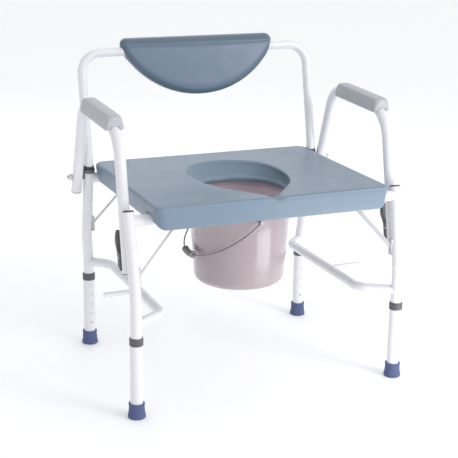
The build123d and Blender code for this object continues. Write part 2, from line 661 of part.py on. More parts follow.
corner = PAIL_BEND * (1 - cos(radians(45)))
inner_bend = PAIL_BEND - PAIL_WALL
inner_corner = inner_bend * (1 - cos(radians(45)))
inner_foot = PAIL_FOOT_RADIUS - PAIL_WALL
floor = PAIL_BOTTOM + PAIL_WALL
pail_profile = Plane.XZ * make_face(
    [
        Line((0, PAIL_BOTTOM), (PAIL_FOOT_RADIUS - PAIL_BEND, PAIL_BOTTOM)),
        ThreePointArc(
            (PAIL_FOOT_RADIUS - PAIL_BEND, PAIL_BOTTOM),
            (PAIL_FOOT_RADIUS - corner, PAIL_BOTTOM + corner),
            (PAIL_FOOT_RADIUS, PAIL_BOTTOM + PAIL_BEND),
        ),
        Line((PAIL_FOOT_RADIUS, PAIL_BOTTOM + PAIL_BEND), (PAIL_MOUTH_RADIUS, RIM_Z)),
        Line((PAIL_MOUTH_RADIUS, RIM_Z), (RIM_RADIUS, RIM_Z)),
        Line((RIM_RADIUS, RIM_Z), (RIM_RADIUS, RIM_Z + RIM_THICKNESS)),
        Line((RIM_RADIUS, RIM_Z + RIM_THICKNESS), (PAIL_MOUTH_RADIUS - PAIL_WALL, RIM_Z + RIM_THICKNESS)),
        Line((PAIL_MOUTH_RADIUS - PAIL_WALL, RIM_Z + RIM_THICKNESS), (inner_foot, floor + inner_bend)),
        ThreePointArc(
            (inner_foot, floor + inner_bend),
            (inner_foot - inner_corner, floor + inner_corner),
            (inner_foot - inner_bend, floor),
        ),
        Line((inner_foot - inner_bend, floor), (0, floor)),
        Line((0, floor), (0, PAIL_BOTTOM)),
    ]
)
pail = Pos(0, PAIL_Y, 0) * revolve(pail_profile, Axis.Z)
stud_wall = pail_wall_radius(BAIL_Z)
studs = []
for end in (-1, 1):
    inside = (0, PAIL_Y + end * (stud_wall - PAIL_WALL - 2.8), BAIL_Z)
    wall = (0, PAIL_Y + end * (stud_wall - PAIL_WALL - 0.8), BAIL_Z)
    outside = (0, PAIL_Y + end * (BAIL_HALF_SPAN + 5.4), BAIL_Z)
    head = (0, PAIL_Y + end * (BAIL_HALF_SPAN + 3.7), BAIL_Z)
    boss = (0, PAIL_Y + end * (stud_wall + 1.0), BAIL_Z)
    boss_end = (0, PAIL_Y + end * (BAIL_HALF_SPAN - 2.3), BAIL_Z)
    pail -= rod(inside, outside, PAIL_STUD_RADIUS + SNUG)
    pail_stud = rod(wall, outside, PAIL_STUD_RADIUS) + rod(inside, wall, PAIL_STUD_FLANGE_RADIUS)
    pail_stud += rod(head, outside, PAIL_STUD_HEAD_RADIUS) + rod(boss, boss_end, PAIL_BOSS_RADIUS)
    studs.append(pail_stud)
save("pail", pail)
save("pail_studs", *studs)

# Bail: drawn in its own plane, local x along the chair and local y away from the hinge line
bail_frame = Pos(0, PAIL_Y, BAIL_Z) * Plane(
    (0, 0, 0), x_dir=(0, 1, 0), z_dir=(-cos(radians(BAIL_HANG)), 0, sin(radians(BAIL_HANG)))
).location
bail_arc = ThreePointArc((-BAIL_HALF_SPAN, 0), (0, BAIL_REACH), (BAIL_HALF_SPAN, 0))
wire = swept_rod(bail_arc, 2 * BAIL_WIRE)
eye_bore = PAIL_STUD_RADIUS + FIT
eyes = []
for end in (-1, 1):
    across = ((end * (BAIL_HALF_SPAN - BAIL_WIRE), 0, 0), (end * (BAIL_HALF_SPAN + BAIL_WIRE), 0, 0))
    wire -= rod((end * (BAIL_HALF_SPAN - 5), 0, 0), (end * (BAIL_HALF_SPAN + 5), 0, 0), eye_bore)
    eyes.append(ring(*across, EYE_RADIUS, eye_bore))
for eye in eyes:
    wire += eye
arc_radius = (BAIL_HALF_SPAN**2 + BAIL_REACH**2) / (2 * BAIL_REACH)
arc_centre = BAIL_REACH - arc_radius
half_grip = radians(GRIP_ARC / 2)
grip_end = (arc_radius * sin(half_grip), arc_centre + arc_radius * cos(half_grip))
grip_arc = ThreePointArc((-grip_end[0], grip_end[1]), (0, BAIL_REACH), grip_end)
grip = swept_rod(grip_arc, 2 * GRIP_RADIUS) - swept_rod(grip_arc, 2 * BAIL_WIRE + 0.1)
save("pail_bail", bail_frame * wire)
save("bail_grip", bail_frame * grip)
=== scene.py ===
import math

import bmesh
import bpy
import numpy as np
from mathutils import Matrix, Vector


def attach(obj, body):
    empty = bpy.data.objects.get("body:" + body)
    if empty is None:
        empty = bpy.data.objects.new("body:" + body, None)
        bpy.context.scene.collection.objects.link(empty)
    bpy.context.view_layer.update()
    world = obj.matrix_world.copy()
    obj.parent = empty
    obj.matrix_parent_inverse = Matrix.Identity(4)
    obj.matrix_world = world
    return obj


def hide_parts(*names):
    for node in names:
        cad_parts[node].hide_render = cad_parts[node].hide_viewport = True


# Looks of the commode chair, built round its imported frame. Shapes are drawn in millimetres with Y measured
# from the axis of the front legs, and become metres in the frame's own axes when a piece is made.

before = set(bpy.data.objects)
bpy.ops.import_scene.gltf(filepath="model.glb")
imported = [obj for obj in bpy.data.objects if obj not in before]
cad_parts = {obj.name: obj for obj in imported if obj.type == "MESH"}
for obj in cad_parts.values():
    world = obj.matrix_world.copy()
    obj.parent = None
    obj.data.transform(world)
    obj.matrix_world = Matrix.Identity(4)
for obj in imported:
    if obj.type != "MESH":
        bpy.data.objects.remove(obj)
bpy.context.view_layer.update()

MM = 0.001
Y_SHIFT = -240.75
SIDES = {"left": 1, "right": -1}


# ---------------------------------------------------------------- materials


def material(name, colour, roughness, grain=0.0, grain_size=1.0, mottle=0.04, mottle_size=60.0, edge=0.0,
             painted_light_tone=None, **shader):
    """A moulded, painted or plated surface. Sizes are in millimetres: grain is the depth of the fine bump and
    grain_size its pitch; mottle is how far the colour wanders over mottle_size; edge is how much paler the
    corners have worn; the last colour, when given, is painted light and shade, laid on where the mesh's own
    shade attribute is 1. Anything else goes to the shader's own sockets."""
    made = bpy.data.materials.new(name)
    made.use_nodes = True
    tree = made.node_tree
    shade = tree.nodes["Principled BSDF"]
    place = tree.nodes.new("ShaderNodeTexCoord")

    def noise(size, detail):
        node = tree.nodes.new("ShaderNodeTexNoise")
        node.inputs["Scale"].default_value = 1000.0 / size
        node.inputs["Detail"].default_value = detail
        tree.links.new(place.outputs["Object"], node.inputs["Vector"])
        return node.outputs["Fac"]

    def spread(source, low, high):
        node = tree.nodes.new("ShaderNodeMapRange")
        node.inputs["From Min"].default_value = 0.3
        node.inputs["From Max"].default_value = 0.7
        node.inputs["To Min"].default_value = low
        node.inputs["To Max"].default_value = high
        tree.links.new(source, node.inputs["Value"])
        return node.outputs["Result"]

    def blend(factor, first, second):
        node = tree.nodes.new("ShaderNodeMix")
        node.data_type = "RGBA"
        tree.links.new(factor, node.inputs["Factor"])
        for socket, value in ((6, first), (7, second)):
            if isinstance(value, bpy.types.NodeSocket):
                tree.links.new(value, node.inputs[socket])
            else:
                node.inputs[socket].default_value = (*value, 1.0)
        return node.outputs[2]

    dark = [c * (1 - mottle) for c in colour]
    pale = [min(1.0, c * (1 + mottle)) for c in colour]
    tint = blend(spread(noise(mottle_size, 3.0), 0.0, 1.0), dark, pale)
    # Painted light and shade: a second colour mixed in wherever the mesh's shade attribute is 1.
    if painted_light_tone:
        mark = tree.nodes.new("ShaderNodeAttribute")
        mark.attribute_name = "shade"
        tint = blend(mark.outputs["Fac"], tint, painted_light_tone)
    if edge:
        corners = tree.nodes.new("ShaderNodeNewGeometry").outputs["Pointiness"]
        worn = tree.nodes.new("ShaderNodeMapRange")
        worn.inputs["From Min"].default_value = 0.515
        worn.inputs["From Max"].default_value = 0.56
        worn.inputs["To Max"].default_value = edge
        tree.links.new(corners, worn.inputs["Value"])
        tint = blend(worn.outputs["Result"], tint, [min(1.0, c * 1.5 + 0.06) for c in colour])
    tree.links.new(tint, shade.inputs["Base Color"])
    gloss = spread(noise(mottle_size / 3, 2.0), roughness * 0.88, roughness * 1.12)
    tree.links.new(gloss, shade.inputs["Roughness"])
    if grain:
        bump = tree.nodes.new("ShaderNodeBump")
        bump.inputs["Distance"].default_value = grain * MM
        tree.links.new(noise(grain_size, 2.0), bump.inputs["Height"])
        tree.links.new(bump.outputs["Normal"], shade.inputs["Normal"])
    for socket, value in shader.items():
        shade.inputs[socket.replace("_", " ")].default_value = value
    return made


WHITE = material("powder_coat", (0.82, 0.81, 0.85), 0.26, 0.02, 1.8, 0.012, 90.0, Coat_Weight=0.3)
ZINC = material("zinc_plate", (0.60, 0.60, 0.61), 0.26, 0.02, 0.8, 0.06, 12.0, Metallic=1.0)
STRIP = material("painted_strip", (0.60, 0.595, 0.62), 0.3, 0.02, 1.8, 0.02, 60.0)
WIRE = material("drawn_wire", (0.30, 0.28, 0.27), 0.3, 0.015, 0.6, 0.08, 9.0, Metallic=1.0)
DARK = material("dark_moulding", (0.085, 0.085, 0.09), 0.45, 0.05, 0.9, 0.08, 20.0, 0.25)
OXIDE = material("dark_spring_steel", (0.05, 0.05, 0.055), 0.4, 0.02, 0.8, 0.08, 9.0, Metallic=0.6)
BLACK = material("black_plug", (0.03, 0.03, 0.032), 0.45, 0.04, 0.9, 0.08, 20.0)
COLLAR = material("grey_collar", (0.105, 0.102, 0.12), 0.42, 0.05, 0.9, 0.06, 20.0, 0.2)
# Rear leg guides: the dark first colour is painted shadow on the upper lip; the second is the grey of the
# lower ring.
GUIDE_PAINTED_SHADOW = material("guide_painted_shadow", (0.05, 0.047, 0.055), 0.38, 0.05, 0.9, 0.06, 20.0, 0.2,
                      painted_light_tone=(0.15, 0.145, 0.15))
RUBBER = material("blue_rubber", (0.075, 0.105, 0.225), 0.62, 0.12, 1.1, 0.08, 14.0, 0.3)
SEAT = material("seat_moulding", (0.186, 0.257, 0.335), 0.34, 0.06, 1.4, 0.018, 140.0, 0.35)
# Back panel: the first colour is its face; the second is painted shade on the rim bevel, rolled top band and
# rear faces.
BACK_PAINTED_SHADE = material("back_moulding_painted_shade", (0.118, 0.176, 0.256), 0.34, 0.05, 1.3, 0.018, 120.0, 0.3,
                painted_light_tone=(0.096, 0.144, 0.186))
PAD = material("pad_skin", (0.47, 0.485, 0.52), 0.52, 0.16, 1.0, 0.03, 25.0, 0.3)
PAIL = material("pail_moulding", (0.42, 0.35, 0.37), 0.2, 0.02, 1.5, 0.02, 60.0, 0.25, Coat_Weight=0.8,
                Coat_Roughness=0.06, Subsurface_Weight=0.6, Subsurface_Scale=0.014,
                Subsurface_Radius=(1.0, 0.9, 0.95))
GRIP = material("grip_moulding", (0.24, 0.21, 0.215), 0.35, 0.05, 1.0, 0.05, 15.0, 0.3)

CAD_FINISHES = {
    WHITE: ["front_leg_left", "front_leg_right", "rear_leg", "cross_tube", "side_tube", "arm_stop_bars",
            "lower_leg", "arm_tube", "back_tube", "pail_rails"],
    STRIP: ["braces"],
    OXIDE: ["button"],
    ZINC: ["rivets", "pivot_studs", "pivot_washers", "pivot_nuts", "screws", "lever_pin", "hinge_clips"],
    WIRE: ["pail_bail"],
    DARK: ["release_lever", "pivot_spacers"],
    BLACK: ["front_leg_caps", "end_plugs"],
    COLLAR: ["leg_collar"],
    GUIDE_PAINTED_SHADOW: ["rear_leg_guides"],
    RUBBER: ["foot"],
    SEAT: ["seat"],
    BACK_PAINTED_SHADE: ["back_panel"],
    PAD: ["arm_pad"],
    PAIL: ["pail", "pail_studs"],
    GRIP: ["bail_grip"],
}
# The longest name that fits a node decides its finish
NAMED_FINISHES = [(key, finish) for finish, keys in CAD_FINISHES.items() for key in keys]
NAMED_FINISHES.sort(key=lambda pair: -len(pair[0]))

for node_name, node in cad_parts.items():
    finish = next(finish for key, finish in NAMED_FINISHES if key in node_name)
    node.data.materials.clear()
    node.data.materials.append(finish)


# ---------------------------------------------------------------- mesh helpers


def piece(name, points, faces, finish, body, nodes, crease=38.0, mirror=False, shade=None):
    """Make one visible piece from points in chair millimetres, and let it stand for its CAD nodes. shade is
    the share of the finish's painted light and shade colour at each point."""
    points = np.array(points, float)
    if mirror:
        points = points * (-1, 1, 1)
        faces = [face[::-1] for face in faces]
    mesh = bpy.data.meshes.new(name)
    mesh.from_pydata([(x * MM, (y + Y_SHIFT) * MM, z * MM) for x, y, z in points], [], faces)
    if shade is not None:
        mesh.attributes.new("shade", "FLOAT", "POINT").data.foreach_set("value", shade)
    shell = bmesh.new()
    shell.from_mesh(mesh)
    bmesh.ops.remove_doubles(shell, verts=shell.verts, dist=1e-6)
    bmesh.ops.recalc_face_normals(shell, faces=shell.faces)
    shell.to_mesh(mesh)
    shell.free()
    mesh.shade_smooth()
    mesh.set_sharp_from_angle(angle=math.radians(crease))
    mesh.materials.append(finish)
    made = bpy.data.objects.new(name, mesh)
    bpy.context.scene.collection.objects.link(made)
    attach(made, body)
    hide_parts(*nodes)
    return made


def skin(rings, wrap=True):
    """Points and faces over a list of closed rings of equal length. wrap joins the last ring to the first."""
    count = len(rings[0])
    points = [point for ring in rings for point in ring]
    faces = []
    for row in range(len(rings) if wrap else len(rings) - 1):
        upper = (row + 1) % len(rings)
        for i in range(count):
            j = (i + 1) % count
            faces.append((row * count + i, row * count + j, upper * count + j, upper * count + i))
    return points, faces


def capped(rings):
    """A skin whose first and last rings are closed by flat faces."""
    points, faces = skin(rings, wrap=False)
    count = len(rings[0])
    last = len(points) - count
    faces.append(tuple(range(count))[::-1])
    faces.append(tuple(range(last, last + count)))
    return points, faces


def lathe(profile, place, axis=(0, 0, 1), segments=64):
    """Turn a closed profile of (radius, height) about an axis through place."""
    turn = Vector((0, 0, 1)).rotation_difference(Vector(axis)).to_matrix()
    rings = []
    for k in range(segments):
        angle = 2 * math.pi * k / segments
        across = Vector((math.cos(angle), math.sin(angle), 0))
        rings.append([turn @ (across * max(radius, 0.02) + Vector((0, 0, height))) + Vector(place)
                      for radius, height in profile])
    return skin(rings)


def bow(start, control, end, count=6):
    """Points of a rounded corner from start to end."""
    steps = np.linspace(0, 1, count)[:, None]
    start, control, end = (np.array(p, float) for p in (start, control, end))
    return (1 - steps) ** 2 * start + 2 * steps * (1 - steps) * control + steps**2 * end


def soft_profile(corners, radius=0.8):
    """A closed profile with each corner rounded, never by more than a third of the shorter run beside it."""
    rounded = []
    for i, corner in enumerate(corners):
        nearby = (corner, corners[i - 1], corners[(i + 1) % len(corners)])
        here, before, after = (np.array(p, float) for p in nearby)
        back, ahead = before - here, after - here
        cut = min(radius, np.linalg.norm(back) / 3, np.linalg.norm(ahead) / 3)
        rounded += bow(here + back / np.linalg.norm(back) * cut, here,
                       here + ahead / np.linalg.norm(ahead) * cut, 4).tolist()
    return rounded


# ---------------------------------------------------------------- seat

PAIL_Y = 195.0
SEAT_TOP, SEAT_DECK = 482.5, 457.5
SEAT_SIDE, SEAT_FRONT, SEAT_REAR = 285.0, -17.0, 444.0
SKIRT_BOTTOM, FRONT_SKIRT_BOTTOM = 438.0, 430.5
SKIRT_STEPS = (14.0, 50.7, 420.8)
OUTER_CORNER, INNER_CORNER = 20.0, 9.0
SIDE_WALL, REAR_WALL = 14.0, 6.0
FUNNEL_RADIUS, FUNNEL_Z = 106.0, 441.0
FUNNEL_WALL = 4.0
LIP_Z = 449.0
TOP_EDGE, MOUTH_EDGE = 8.0, 4.0


def through(first, middle, last, count=40):
    """Points along the arc through three points."""
    a, b, c = (complex(*p) for p in (first, middle, last))
    w = (c - a) / (b - a)
    centre = (b - a) * (w - abs(w) ** 2) / (2j * w.imag) + a
    turn = [np.angle((p - centre) / (a - centre)) % (2 * math.pi) for p in (b, c)]
    sweep = turn[1] if turn[0] < turn[1] else turn[1] - 2 * math.pi
    found = centre + (a - centre) * np.exp(1j * np.linspace(0, sweep, count))
    return np.column_stack([found.real, found.imag])


def rounded_box(side, front, rear, radius):
    """Outline of a box in plan, with rounded corners."""
    runs = []
    for x, y, start in ((side, rear, 0), (-side, rear, 90), (-side, front, 180), (side, front, 270)):
        angles = np.radians(np.linspace(start, start + 90, 24))
        centre = (x - math.copysign(radius, x), y - math.copysign(radius, y - PAIL_Y))
        runs.append(radius * np.column_stack([np.cos(angles), np.sin(angles)]) + centre)
    outline = np.vstack(runs)
    gaps = np.hypot(*(outline - np.roll(outline, 1, axis=0)).T)
    return np.vstack([np.linspace(outline[i - 1], outline[i], 4 + int(gaps[i])) for i in range(len(outline))])


def reach(outline, angles):
    """Distance from the pail's axis to an outline, at each angle."""
    across = outline - (0, PAIL_Y)
    where = np.arctan2(across[:, 1], across[:, 0])
    order = np.argsort(where)
    return np.interp(angles, where[order], np.hypot(*across.T)[order], period=2 * math.pi)


def build_seat():
    """The moulded seat: a deck with a deep skirt, and a drop-shaped funnel down to the pail."""
    angles = list(np.linspace(-math.pi, math.pi, 720, endpoint=False))
    for y in SKIRT_STEPS:
        for side in (-SEAT_SIDE, SEAT_SIDE):
            middle = math.atan2(y - PAIL_Y, side)
            angles += [middle - 2e-4, middle + 2e-4]
    angles = np.array(sorted(angles))
    aim = np.column_stack([np.cos(angles), np.sin(angles)])
    hole = np.vstack([
        through((-20, 10), (0, 0), (20, 10)),
        np.linspace((20, 10), (84, 98), 40),
        through((84, 98), (106, 155), (113, 242)),
        through((113, 242), (0, 355), (-113, 242), 160),
        through((-113, 242), (-106, 155), (-84, 98)),
        np.linspace((-84, 98), (-20, 10), 40),
    ])
    mouth = reach(hole, angles)
    outer = reach(rounded_box(SEAT_SIDE, SEAT_FRONT, SEAT_REAR, OUTER_CORNER), angles)
    inner_box = (SEAT_SIDE - SIDE_WALL, SEAT_FRONT + SIDE_WALL, SEAT_REAR - REAR_WALL)
    inner = reach(rounded_box(*inner_box, INNER_CORNER), angles)
    wall_y = PAIL_Y + outer * aim[:, 1]
    wall_x = np.abs(outer * aim[:, 0])
    lift = np.clip((wall_x - (SEAT_SIDE - OUTER_CORNER)) / OUTER_CORNER, 0.0, 0.98)
    front_bottom = FRONT_SKIRT_BOTTOM + 15.0 * (1 - np.sqrt(1 - lift**2))
    bottom = np.where(wall_y < SKIRT_STEPS[0], front_bottom, SKIRT_BOTTOM)
    notch = ((wall_y > SKIRT_STEPS[0]) & (wall_y < SKIRT_STEPS[1])) | (wall_y > SKIRT_STEPS[2])
    bottom = np.where(notch, SEAT_DECK - 0.2, bottom)
    flat = np.ones_like(angles)
    rings = []

    def ring(radius, height):
        rings.append(np.column_stack([radius * aim[:, 0], PAIL_Y + radius * aim[:, 1], height * flat]))

    collar = FUNNEL_RADIUS * flat
    front = np.clip(1 - (wall_y - SEAT_FRONT) / 30.0, 0.0, 1.0)
    dip = 6.0 * np.exp(-((outer * aim[:, 0]) / 15.0) ** 2) * front
    top = SEAT_TOP - dip
    for radius, height in ((0.6, FUNNEL_Z), (0.0, FUNNEL_Z + 0.6), (0.0, 444.0)):
        ring(collar + radius, height)
    slope = (mouth - MOUTH_EDGE - FUNNEL_RADIUS) / (SEAT_TOP - LIP_Z)
    for t in np.linspace(0, 1, 6):
        ring(collar + t**2 * (4.0 + slope * 4.0), LIP_Z - 3.0 + 7.0 * (1 - (1 - t) ** 2))
    for height in np.linspace(LIP_Z + 6.0, SEAT_TOP - 6.5, 7):
        share = (height - LIP_Z) / (SEAT_TOP - LIP_Z)
        sag = 2.5 * math.sin(math.pi * share)
        ring(collar + 4.0 + slope * (height - LIP_Z) + sag, height - dip * share)
    low = collar + 4.0 + slope * (SEAT_TOP - 5.0 - LIP_Z)
    deck_start, deck_end = mouth + MOUTH_EDGE, outer - TOP_EDGE
    for t in np.linspace(0, 1, 6):
        radius = (1 - t) ** 2 * low + 2 * t * (1 - t) * mouth + t**2 * deck_start
        ring(radius, top - 5.0 * (1 - t) ** 2)
    for t in np.linspace(0.08, 0.96, 7):
        ring(deck_start + (deck_end - deck_start) * t, top - 0.5 * math.sin(math.pi * t) ** 2)
    for turn in np.linspace(0, math.pi / 2, 7):
        ring(deck_end + TOP_EDGE * math.sin(turn), top - TOP_EDGE + TOP_EDGE * math.cos(turn))
    drop = (top - TOP_EDGE) - bottom
    draft = 2.0 + 5.0 * np.clip((wall_x - (SEAT_SIDE - 30.0)) / 30.0, 0.0, 1.0)
    draft *= np.minimum(drop / 45.0, 1.0)
    for t in (0.15, 0.5, 0.85):
        ring(outer - draft * t, top - TOP_EDGE - drop * t)
    foot = outer - draft
    ring(foot - 0.2, bottom + 1.6)
    ring(foot - 0.8, bottom + 0.4)
    ring(foot - 1.8, bottom)
    ring(inner, bottom)
    ring(inner - 0.3, SEAT_DECK - 0.1)
    ring(collar + 9.0 + slope * (SEAT_DECK - LIP_Z), SEAT_DECK - 0.1)
    ring(collar + 6.5 + slope * (SEAT_DECK - LIP_Z - 3.5), SEAT_DECK - 3.5)
    ring(collar + FUNNEL_WALL, LIP_Z - 3.0)
    ring(collar + FUNNEL_WALL, FUNNEL_Z + 0.6)
    ring(collar + FUNNEL_WALL - 0.6, FUNNEL_Z)
    points, faces = skin(rings)
    piece("seat_moulded", points, faces, SEAT, "seat", ["seat"], crease=50.0)


build_seat()


# ---------------------------------------------------------------- back panel


def build_panel():
    """The half-moon back: a dished plate with a bevelled rim, and a thick top edge rolled over the rail. The
    rim bevel, the rolled top band and the rear faces carry painted shade.
    """
    arc, low, half = 231.0, -113.0, 202.0
    face_y, rear_y, crest = -22.0, 16.0, (2.0, 33.0)
    rail_place, knee = Vector((0, 482.2, 743.0)), Vector((0, 428.45, 487.0))
    recline = math.atan((rail_place.y - knee.y) / (rail_place.z - knee.z))
    rail = Matrix.Rotation(-recline, 3, "X")
    swell_middle = Vector((-3.0, 17.0))
    end_round = 18.0
    band_start = 8.0
    rim = 13.0
    centre_z = low + arc
    columns, shade = [], []
    spots = half * np.sin(np.linspace(-math.pi / 2, math.pi / 2, 150))
    for x in spots:
        bottom = centre_z - math.sqrt(arc**2 - x**2)
        rim_edge = centre_z - math.sqrt((arc - rim) ** 2 - x**2)
        crease = max(min(band_start - 1, rim_edge), bottom + 0.5)
        loop = []

        def front(z):
            depth = max(0.0, (math.hypot(x, z - centre_z) - (arc - rim)) / rim)
            return face_y + 7.5 * min(depth, 1.0) ** 1.4

        for z in np.linspace(bottom + 0.6, crease, 9):
            loop.append((front(z), z))
        face_top = max(band_start - 1.0, bottom + 1.6)
        for z in np.linspace(crease, face_top, 9)[1:]:
            loop.append((front(z), z))
        lip = max(band_start + 0.8, bottom + 2.4)
        loop.append((front(lip) + 0.5, lip - 0.8))
        loop.append((front(lip) + 0.5, lip + 0.6))
        loop.append((min(face_y, front(lip)), lip + 1.8))
        loop += through((face_y, 14.0), (-13.5, 27.0), crest, 8).tolist()
        loop += through(crest, (12.5, 27.0), (rear_y, 16.0), 8).tolist()[1:]
        loop.append((rear_y, max(-17.0, bottom + 6.0)))
        loop.append((14.5, max(-19.5, bottom + 4.5)))
        loop.append((3.6, max(-28.6, bottom + 3.4)))
        loop.append((2.0, max(-31.0, bottom + 3.0)))
        loop.append((2.0, bottom + 1.6))
        loop.append((0.8, bottom))
        loop.append((-8.0, bottom))
        loop.append((-14.0, bottom))
        inset = min(half - abs(x), end_round)
        swell = max(0.02, math.sqrt(max(0.0, 1 - (1 - inset / end_round) ** 2)))
        section = []
        for spot in loop:
            y, z = swell_middle + (Vector(spot) - swell_middle) * swell
            section.append(rail @ Vector((x, y, z)) + rail_place)
        columns.append(section)
        # Painted shade: darker on the bevelled rim, above the lip on the rolled top band, and on the rear
        # faces.
        for y, z in loop:
            inside_rim = max(0.0, math.hypot(x, z - centre_z) - (arc - rim)) / rim
            shade.append(min(1.0, max(inside_rim * 1.3, 0.75 if z > lip else 0.0, 0.35 if y > -13 else 0.0)))
    points, faces = capped(columns)
    piece("back_panel_moulded", points, faces, BACK_PAINTED_SHADE, "back", ["back_panel"], crease=34.0,
          shade=shade)


build_panel()


# ---------------------------------------------------------------- arm pads


def build_pad(side):
    """A moulded foam pad that sits over the arm tube: sloping sides, rounded ends, and an arched notch at
    each end where the tube bends away under it."""
    across = Vector((1, 0, 0))
    bar_start, bar_end, pad_y = Vector((331.0, 99.7, 636.8)), Vector((331.0, 362.2, 646.0)), 221.0
    run = (bar_end - bar_start).normalized()
    rise = across.cross(run)
    start = bar_start + run * ((pad_y - bar_start.y) / run.y)
    half_length, half_width, base, top = 102.0, 22.0, -11.05, 22.45
    bends = ((-50.1, 90.0, -1), (96.6, 60.0, 1))
    corner, nose = 9.5, 13.0
    ends = corner * (1 - np.cos(np.linspace(0, math.pi / 2, 9)))
    spots = sorted([*(-half_length + ends), *np.linspace(-half_length + 11, half_length - 11, 33),
                    *(half_length - ends)])
    rings = []
    for spot in spots:
        inset = half_length - abs(spot)
        round_off = corner - math.sqrt(max(0.0, corner**2 - (corner - min(inset, corner)) ** 2))
        fall = nose - math.sqrt(max(0.0, nose**2 - (nose - min(inset, nose)) ** 2))
        width = half_width - 0.72 * round_off
        height = top - 0.62 * fall - 0.35 * (spot / half_length) ** 2
        floor = base + 0.3 * round_off
        notch = 12.75 + 1.3 * max(0.0, 1 - inset / 5.0)
        depth, bend = 0.0, 90.0
        for bend_start, bend_radius, way in bends:
            if way * (spot - bend_start) > depth:
                depth, bend = way * (spot - bend_start), bend_radius
        lowest = math.hypot(bend + floor, depth) - bend
        first = math.asin(max(-0.99, min(0.99, lowest / notch)))
        foot = bow((width - 2.5, floor), (width, floor), (width, floor + 3.5), 5)
        flank = bow((width - 0.3, floor + 8.0), (width - 0.6, floor + 12.0), (width - 2.0, floor + 16.0), 5)
        brow = bow((width - 4.6, height - 7.0), (width - 6.4, height - 1.2), (width - 12.0, height - 0.6), 7)
        outer = [*foot, *flank, *brow, (width * 0.3, height), (0.0, height)]
        mirror = [(-x, z) for x, z in outer[-2::-1]]
        arch = []
        for angle in np.linspace(math.pi - first, first, 27):
            above = notch * math.sin(angle) + bend
            arch.append((notch * math.cos(angle), math.sqrt(max(above**2 - depth**2, 0.0)) - bend))
        rings.append([start + run * spot + across * x + rise * z for x, z in [*outer, *mirror, *arch]])
    points, faces = capped(rings)
    name = "left" if side > 0 else "right"
    pad = piece(f"arm_pad_moulded_{name}", points, faces, PAD, f"arm_{name}", [f"arm_pad_{name}"],
                crease=48.0, mirror=side < 0)


for side in SIDES.values():
    build_pad(side)


# ---------------------------------------------------------------- pail and grip


def build_pail():
    """A tapered pail with a rolled rim, a shallow band under it and a foot ring."""
    bottom_corner = through((90.5, 227.0), (103.4, 232.6), (109.2, 246.5), 12).tolist()
    inside_corner = through((106.6, 247.5), (101.0, 235.0), (89.5, 229.8), 12).tolist()
    profile = [(0.0, 229.0), (74.0, 229.0), (76.5, 227.4), (78.0, 227.0), *bottom_corner,
               (116.6, 352.0), (120.9, 425.5), (121.9, 427.0), (122.2, 433.0), (121.6, 434.5),
               (122.9, 448.6), (124.0, 449.8), (133.6, 449.8), (135.4, 450.1), (136.0, 451.2), (136.0, 452.0),
               (135.2, 453.0), (133.5, 453.3), (123.0, 453.3), (121.2, 452.6), (120.4, 450.5),
               (114.0, 352.0), *inside_corner, (0.0, 229.8)]
    points, faces = lathe(profile, (0, PAIL_Y, 0), segments=144)
    piece("pail_moulded", points, faces, PAIL, "pail", ["pail"], crease=45.0)


def build_grip():
    """The plastic grip on the bail: a curved sleeve with flanged ends and finger ribs."""
    hang = math.radians(54.0)
    origin = Vector((0, PAIL_Y, 400.0))
    along, away = Vector((0, 1, 0)), Vector((-math.sin(hang), 0, -math.cos(hang)))
    side = along.cross(away)
    radius = (127.0**2 + 161.0**2) / (2 * 161.0)
    centre = 161.0 - radius
    half = math.radians(23.0 / 2)
    rings = []
    steps = np.linspace(-1, 1, 65)
    spots = [(-1.0, 1.9), *[(t, None) for t in steps], (1.0, 1.9)]
    for t, fixed in spots:
        turn = t * half
        middle = origin + along * (radius * math.sin(turn)) + away * (centre + radius * math.cos(turn))
        outward = along * math.sin(turn) + away * math.cos(turn)
        end = (1 - abs(t)) * radius * half
        size = 7.5 + 0.35 * math.cos(t * half * radius * 2 * math.pi / 6.5)
        if end < 3.2:
            size = 8.5 - 0.8 * max(0.0, 1 - end / 0.8)
        size = fixed or size
        rings.append([middle + (outward * math.cos(a) + side * math.sin(a)) * size
                      for a in np.linspace(0, 2 * math.pi, 40, endpoint=False)])
    points, faces = skin(rings, wrap=True)
    piece("bail_grip_ribbed", points, faces, GRIP, "bail", ["bail_grip"])


build_pail()
build_grip()


# ---------------------------------------------------------------- feet, collars and guides

FOOT = soft_profile([
    (0.0, 1.0), (5.5, 1.0), (6.2, 0.0), (10.0, 0.0), (10.7, 1.2), (13.0, 1.2), (13.7, 0.0), (19.0, 0.0),
    (20.2, 1.4), (20.2, 7.6), (18.9, 9.4), (18.7, 11.2), (17.5, 28.4), (18.3, 30.2), (18.3, 33.8),
    (17.4, 35.0), (14.35, 35.0), (14.35, 6.0), (0.0, 6.0)], 0.7)
COLLAR_RING = soft_profile([
    (14.35, 172.0), (15.1, 172.0), (15.75, 172.9), (15.75, 177.6), (15.3, 178.2), (15.3, 179.0),
    (15.75, 179.6), (15.75, 187.2), (14.4, 189.8), (12.82, 189.8), (12.82, 181.1), (14.35, 181.1)], 0.5)
GUIDE = soft_profile([
    (11.2, 0.0), (14.3, 0.0), (15.0, 0.8), (15.0, 8.6), (14.2, 10.0), (12.4, 10.6), (12.4, 11.2),
    (13.2, 12.2), (13.2, 16.4), (12.4, 17.5), (11.2, 17.5)], 0.5)
LEGS = {"front": (326.5, 0.0), "rear": (297.0, 465.5)}

